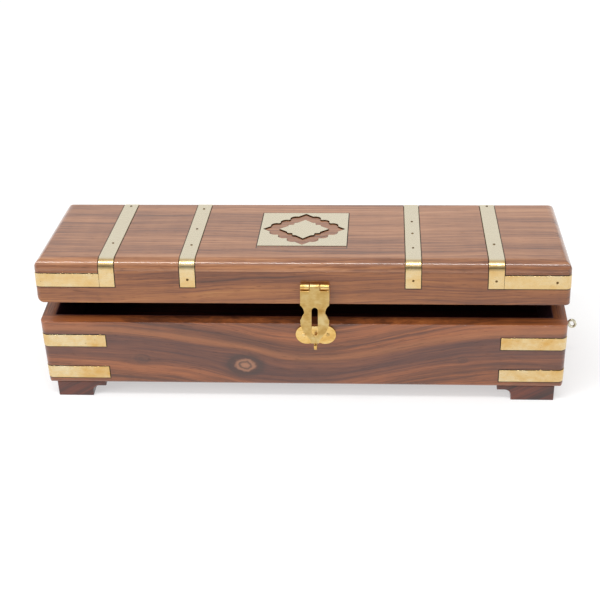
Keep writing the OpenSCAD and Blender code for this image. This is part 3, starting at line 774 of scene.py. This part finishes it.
# %% Patterns for a pin and a screw
def turned(name, profile, sides):
    """A closed shape from radius and height pairs, from the tail's axis point to the head's."""
    shape = bmesh.new()
    rings = []
    for radius, height in profile:
        if radius == 0:
            rings.append([shape.verts.new((0, 0, height))])
        else:
            angles = [2 * math.pi * i / sides for i in range(sides)]
            rings.append(
                [
                    shape.verts.new((radius * math.cos(a), radius * math.sin(a), height))
                    for a in angles
                ]
            )
    for low, high in zip(rings, rings[1:]):
        for i in range(sides):
            j = (i + 1) % sides
            if len(low) == 1:
                shape.faces.new((low[0], high[j], high[i]))
            elif len(high) == 1:
                shape.faces.new((low[i], low[j], high[0]))
            else:
                shape.faces.new((low[i], low[j], high[j], high[i]))
    mesh = bpy.data.meshes.new(name)
    shape.to_mesh(mesh)
    shape.free()
    mesh.shade_smooth()
    pattern = bpy.data.objects.new(name, mesh)
    scene.collection.objects.link(pattern)
    return pattern


def pin_pattern(shank, head, length):
    dome = [(head * math.cos(a), head * 0.5 * math.sin(a)) for a in np.linspace(0, 1.35, 6)]
    under = [(0, -length), (shank * 0.5, -length), (shank, -length * 0.8), (shank, -0.02 * MM)]
    return turned("pin_pattern", [*under, (head * 0.97, -0.01 * MM), *dome, (0, head * 0.5)], 20)


def screw_pattern(shank, head, length):
    profile = [
        (0, -length), (shank * 0.3, -length), (shank, -length * 0.75), (shank, shank - head),
        (head * 0.97, -0.1 * MM), (head, -0.04 * MM), (head * 0.96, 0), (0, 0),
    ]
    screw = turned("screw_pattern", profile, 28)
    cutter = bpy.data.meshes.new("slot_cutter")
    bar = bmesh.new()
    size = Vector((3 * head, 0.42 * MM, 1.1 * MM))
    bmesh.ops.create_cube(bar, size=1, matrix=Matrix.Diagonal((*size, 1)))
    bar.to_mesh(cutter)
    bar.free()
    cutter_piece = bpy.data.objects.new("slot_cutter", cutter)
    scene.collection.objects.link(cutter_piece)
    cut = screw.modifiers.new("slot", "BOOLEAN")
    cut.operation, cut.solver, cut.object = "DIFFERENCE", "EXACT", cutter_piece
    bpy.context.view_layer.update()
    made = plain_mesh(screw, "screw_pattern_slotted")
    bpy.data.objects.remove(cutter_piece)
    return made


pin_shape = pin_pattern(*places["lid_pins"][0][2:])
screw_shape = screw_pattern(*places["hinge_lower_screws"][0][2:])
print("pin", len(pin_shape.data.polygons), "screw", len(screw_shape.data.polygons), "faces")


# %% [markdown]
# The tree's inputs are named, and a modifier takes their values by the sockets' identifiers.
# The seed is fixed, so the heads are turned the same way each time.


# %% Setting the fasteners
def new_tree(name, sockets):
    """A geometry tree with a geometry input and output and the named inputs."""
    tree = bpy.data.node_groups.new(name, "GeometryNodeTree")
    tree.interface.new_socket("Geometry", in_out="INPUT", socket_type="NodeSocketGeometry")
    ids = {}
    for label, kind in sockets.items():
        ids[label] = tree.interface.new_socket(label, in_out="INPUT", socket_type=kind).identifier
    tree.interface.new_socket("Geometry", in_out="OUTPUT", socket_type="NodeSocketGeometry")
    start = tree.nodes.new("NodeGroupInput")
    end = tree.nodes.new("NodeGroupOutput")
    bench = Bench(tree)
    return bench, {s.name: Wire(bench, s) for s in start.outputs if s.name}, end, ids


def run_tree(holder, bench, ids, values, name):
    """Gives the holder the tree with these values, and returns the plain mesh that it makes."""
    modifier = holder.modifiers.new("tree", "NODES")
    modifier.node_group = bench.tree
    for label, value in values.items():
        modifier[ids[label]] = value
    return plain_mesh(holder, name)


bench, given, end, setting_ids = new_tree(
    "set_fasteners",
    {
        "Pattern": "NodeSocketObject", "Size": "NodeSocketFloat", "Spread": "NodeSocketFloat",
        "Seed": "NodeSocketInt", "Brass": "NodeSocketMaterial",
    },
)
points = bench.node("GeometryNodeMeshToPoints", inputs={"Mesh": given["Geometry"]})
pattern = bench.node("GeometryNodeObjectInfo", out="Geometry", inputs={"Object": given["Pattern"]})
facing = bench.node(
    "GeometryNodeInputNamedAttribute", {"data_type": "FLOAT_VECTOR"}, inputs={"Name": "facing"}
)
aimed = bench.node("FunctionNodeAlignRotationToVector", {"axis": "Z"}, inputs={"Vector": facing})
spin = bench.node(
    "FunctionNodeRandomValue", {"data_type": "FLOAT"}, "Value_001",
    {"Min_001": 0.0, "Max_001": 2 * math.pi, "Seed": given["Seed"]},
)
spin_turn = bench.node(
    "FunctionNodeAxisAngleToRotation", inputs={"Axis": (0.0, 0.0, 1.0), "Angle": spin}
)
turned_heads = bench.node(
    "FunctionNodeRotateRotation", {"rotation_space": "LOCAL"},
    inputs={"Rotation": aimed, "Rotate By": spin_turn},
)
sizes = bench.node(
    "FunctionNodeRandomValue", {"data_type": "FLOAT"}, "Value_001",
    {
        "Min_001": given["Size"] - given["Spread"], "Max_001": given["Size"] + given["Spread"],
        "Seed": given["Seed"] + 1,
    },
)
copies = bench.node(
    "GeometryNodeInstanceOnPoints",
    inputs={"Points": points, "Instance": pattern, "Rotation": turned_heads, "Scale": sizes},
)
real = bench.node("GeometryNodeRealizeInstances", inputs={"Geometry": copies})
dressed = bench.node(
    "GeometryNodeSetMaterial", inputs={"Geometry": real, "Material": given["Brass"]}
)
bench.put(end.inputs[0], dressed)

NAIL_TONES = ("b08c50", "dcbc7a", "f2dcaa")
PIN_TONES = ("4a3820", "6c5230", "8f7448")
nail_brass = brass("nail_brass", lid_square, NAIL_TONES, 12.5, blotch=0.8, rough=0.3)
pin_brass = brass("pin_brass", lid_square, PIN_TONES, 14.5, blotch=0.8, rough=0.42)
PIN_SIZE = 0.66  # the lid's pins are sanded down with the brass, so less of their heads is left
for order, (node, found) in enumerate(places.items()):
    screw, small = node.endswith("screws"), node == "lid_pins"
    values = {
        "Pattern": screw_shape if screw else pin_shape, "Size": PIN_SIZE if small else 1.0,
        "Spread": 0.0 if screw else 0.05, "Seed": 7 + order,
        "Brass": pin_brass if small else nail_brass,
    }
    piece = run_tree(points_of(found, node + "_points"), bench, setting_ids, values, node + "_set")
    finish_piece(piece, FASTENERS[node][0], [node])
    print(node, len(piece.data.polygons), "faces")
for pattern_piece in (pin_shape, screw_shape):
    bpy.data.objects.remove(pattern_piece)

# %% [markdown]
# What is left of the CAD nodes is small and hidden, such as the hasp's pin inside its knuckles.
# It keeps its own mesh and only gets its brass.

# %% What stays as it came
for name, node in frame["nodes"].items():
    if not node.hide_render:
        node.material_slots[0].link = "OBJECT"
        node.material_slots[0].material = hasp_brass if node["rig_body"] != "base" else fitting_brass
        print("kept", name)
